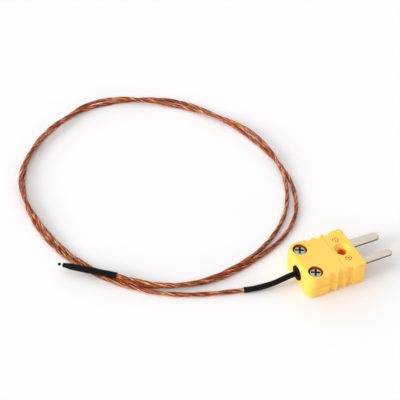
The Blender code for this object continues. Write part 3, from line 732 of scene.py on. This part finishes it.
def make_fibres(name, root, direction, material):
    """A few frayed ends of pale fibre round the lead where the sleeve stops."""
    rng = np.random.default_rng(11)
    direction = direction / np.linalg.norm(direction)
    side = np.cross(direction, (0.0, 0.0, 1.0))
    side /= np.linalg.norm(side)
    up = np.cross(side, direction)
    verts = []
    faces = []
    for _ in range(FIBRE_COUNT):
        turn = rng.uniform(0, 2 * math.pi)
        away = math.cos(turn) * side + math.sin(turn) * up
        length = rng.uniform(*FIBRE_LENGTHS)
        lean = rng.uniform(0.25, 1.0) * FIBRE_SPREAD
        start = root + away * FIBRE_FROM_AXIS - direction * FIBRE_ROOT
        rings = []
        for step in range(FIBRE_STEPS + 1):
            share = step / FIBRE_STEPS
            centre = start + direction * (FIBRE_ROOT + length) * share
            centre = centre + away * math.tan(lean) * length * share**2
            centre[2] = max(centre[2], FIBRE_LOWEST)
            radius = FIBRE_RADIUS * (1 - 0.5 * share)
            rings.append(ring_of(centre, away, np.cross(direction, away), radius, FIBRE_SIDES))
        offset = len(verts)
        part_verts, part_faces = loft(rings)
        verts += part_verts
        faces += [tuple(index + offset for index in face) for face in part_faces]
    return new_piece(name, mesh_of(name, verts, faces), material)


def make_tip_wire(name, side, start, direction, across, material, replaced):
    """One bare wire from the sleeve into the weld."""
    points = []
    for step in range(TIP_WIRE_STEPS + 1):
        share = step / TIP_WIRE_STEPS
        bow = TIP_WIRE_FROM_AXIS + TIP_WIRE_BOW * math.sin(math.pi * share) - TIP_WIRE_CLOSING * share
        turn = side * TIP_WIRE_TURN * share
        way = math.cos(turn) * across * side + math.sin(turn) * np.cross(direction, across)
        points.append(start + direction * (TIP_WIRE_START + TIP_WIRE_REACH * share) + way * bow)
    points = np.array(points)
    firsts, seconds = carried_frames(points)
    rings = [
        ring_of(centre, first, second, TIP_WIRE_RADIUS, TIP_WIRE_SIDES)
        for centre, first, second in zip(points, firsts, seconds)
    ]
    return new_piece(name, mesh_of(name, *loft(rings)), material, replaced)


def make_bead(centre, direction, material):
    """The welded junction: a slightly lumpy drop."""
    bm = bmesh.new()
    bmesh.ops.create_icosphere(bm, subdivisions=4, radius=BEAD_RADIUS)
    rng = np.random.default_rng(5)
    lumps = rng.normal(size=(BEAD_LUMPS, 3))
    lumps /= np.linalg.norm(lumps, axis=1)[:, None]
    sizes = rng.uniform(*BEAD_LUMP_SIZES, BEAD_LUMPS)
    for vert in bm.verts:
        way = np.array(vert.co.normalized())
        swell = sum(
            size * math.exp(-BEAD_LUMP_SHARPNESS * (1 - float(np.dot(way, lump))))
            for size, lump in zip(sizes, lumps)
        )
        vert.co += Vector(way) * swell
        if vert.co.z < 0:
            vert.co.z *= BEAD_STRETCH
    turn = Vector(direction).to_track_quat("Z", "Y").to_matrix().to_4x4()
    bmesh.ops.transform(bm, matrix=Matrix.Translation(Vector(centre)) @ turn, verts=bm.verts)
    mesh = bpy.data.meshes.new("weld_bead")
    bm.to_mesh(mesh)
    bm.free()
    return new_piece("weld_bead", mesh, material, ("junction_bead",))


def make_cord(finishes):
    """The lead with its sleeves, bare wires, bead and fibres, from the plug to the bead."""
    tip_start = Vector(LEAD_ROUTE[-1])
    tip_end = Vector(TIP_SLEEVE_END)
    tip_way = (tip_end - tip_start).normalized()
    sleeve = smooth_curve(SLEEVE_ROUTE, PLUG_SLEEVE_RINGS)
    into_sleeve = [sleeve[-1] + (sleeve[-4] - sleeve[-1]) * share for share in (1.0, 0.5)]
    tip_inside = [np.array(tip_start + tip_way * reach) for reach in LEAD_TUCKS]
    whole = np.vstack([into_sleeve, lead_line(), tip_inside])
    lead_pair = make_lead(whole, finishes["lead_film"])

    black = finishes["shrink_sleeve"]
    radii = sleeve_radii(arc_lengths(sleeve), PLUG_SLEEVE_RADIUS, seed=3, ripple=0.012)
    plug_sleeve = make_sleeve(
        "plug_shrink_sleeve", sleeve, radii, PLUG_SLEEVE_WALL, black, ("plug_sleeve",))

    length = (tip_end - tip_start).length
    stations = np.linspace(TIP_SLEEVE_START, length, TIP_SLEEVE_RINGS)
    tip_route = np.array([np.array(tip_start + tip_way * s) for s in stations])

    def tip_taper(s):
        left = length - TIP_SLEEVE_START - s
        share = min(left / TIP_TAPER_LENGTH, 1.0)
        return TIP_TAPER_SHARE + (1 - TIP_TAPER_SHARE) * share * share * (3 - 2 * share)

    radii = sleeve_radii(arc_lengths(tip_route), TIP_SLEEVE_RADIUS, 8, 0.014, 0.03, tip_taper)
    tip_sleeve = make_sleeve(
        "tip_shrink_sleeve", tip_route, radii, TIP_SLEEVE_WALL, black, ("tip_sleeve",))

    way = np.array(tip_way)
    across = np.cross(way, (0.0, 0.0, 1.0))
    across /= np.linalg.norm(across)
    end = np.array(tip_end)
    bare = finishes["wire_alloy"]
    wires = [
        make_tip_wire("tip_bare_wire_negative", 1, end, way, across, bare, ("tip_wire_negative",)),
        make_tip_wire("tip_bare_wire_positive", -1, end, way, across, bare, ("tip_wire_positive",)),
    ]
    low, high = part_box("junction_bead")
    bead = make_bead((low + high) / 2, tip_way, finishes["bead_alloy"])
    rear = np.array(SLEEVE_ROUTE)
    fibres = make_fibres("sleeve_end_fibres", rear[-1], rear[-1] - rear[-2], glass_fibre())


# The plug and the whole

def painted_hollow_shades():
    """Axis, radius, starting height, height of full painted shade and painted shade colour of each hollow
    in the plug's top.
    """
    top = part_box("plug_cover")[1].z
    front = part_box("plug_base")[1].x
    hollows = []
    for name in ("cover_screw_left", "cover_screw_right"):
        low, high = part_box(name)
        axis = ((low.x + high.x) / 2, (low.y + high.y) / 2)
        hollows.append((axis, WELL_RADIUS, top, top - WELL_FADE, WELL_PAINTED_SHADE))
    for side in (1, -1):
        axis = (front - MARK_FROM_FRONT, side * MARK_SPACING / 2)
        hollows.append((axis, MARK_RADIUS, top - MARK_FADE[0], top - MARK_FADE[1], MARK_PAINTED_SHADE))
    axis = (front - HOLE_FROM_FRONT, 0.0)
    dish_end = top - DISH_DEPTH
    hollows.append((axis, HOLE_RADIUS, dish_end + HOLE_FADE, dish_end, HOLE_PAINTED_SHADE))
    return hollows


def make_finishes():
    """A material for each slot of the record."""
    return {
        "plug_plastic": plug_plastic(painted_hollow_shades()),
        "screw_steel": plated_steel("screw_steel", (0.70, 0.69, 0.66), 0.22),
        "insert_brass": turned_brass(),
        "blade_alloy": blade_alloy(),
        "black_rubber": rubber("black_rubber", (0.0040, 0.0034, 0.0030), 0.50),
        "shrink_sleeve": rubber("shrink_sleeve", (0.0042, 0.0040, 0.0038), 0.42),
        # The lead film's last two colours are painted highlights
        "lead_film": wrapped_film(
            "lead_film", first=(0.32, 0.042, 0.010), second=(0.40, 0.090, 0.014),
            dark=(0.050, 0.006, 0.002), painted_glint=(0.92, 0.56, 0.20), pale=(0.95, 0.54, 0.38),
        ),
        "red_film": plain_film("red_film", (0.45, 0.07, 0.03), (0.30, 0.04, 0.02)),
        "yellow_film": plain_film("yellow_film", (0.80, 0.45, 0.08), (0.62, 0.30, 0.05)),
        "wire_alloy": drawn_wire("wire_alloy", (0.62, 0.58, 0.50), 0.3),
        "bead_alloy": drawn_wire("bead_alloy", (0.05, 0.047, 0.045), 0.42),
    }


def dress(node_name, material):
    materials = frame["nodes"][node_name].data.materials
    materials.clear()
    materials.append(material)


def dress_cad_nodes(finishes):
    """Every CAD node gets its slot's finish, and the cover screws one with painted shade in the cross
    recess.
    """
    for row in frame["record"]["subparts"]:
        dress(row["node"], finishes[row["material_slot"]])
    head_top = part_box("cover_screw_left")[1].z
    recess_shade = (head_top - RECESS_SHADE_FULL, head_top - RECESS_SHADE_STARTS)
    shaded_cross_steel = plated_steel("cover_screw_steel_shaded", (0.58, 0.54, 0.48), 0.26, recess_shade)
    for name in ("cover_screw_left", "cover_screw_right"):
        dress(name, shaded_cross_steel)


def main():
    bpy.context.scene.view_settings.view_transform = "Standard"
    make_camera()
    make_world()
    make_floor()
    add_lamp("key", **KEY_LAMP)
    add_lamp("fill", **FILL_LAMP)
    finishes = make_finishes()
    dress_cad_nodes(finishes)
    make_cord(finishes)


main()
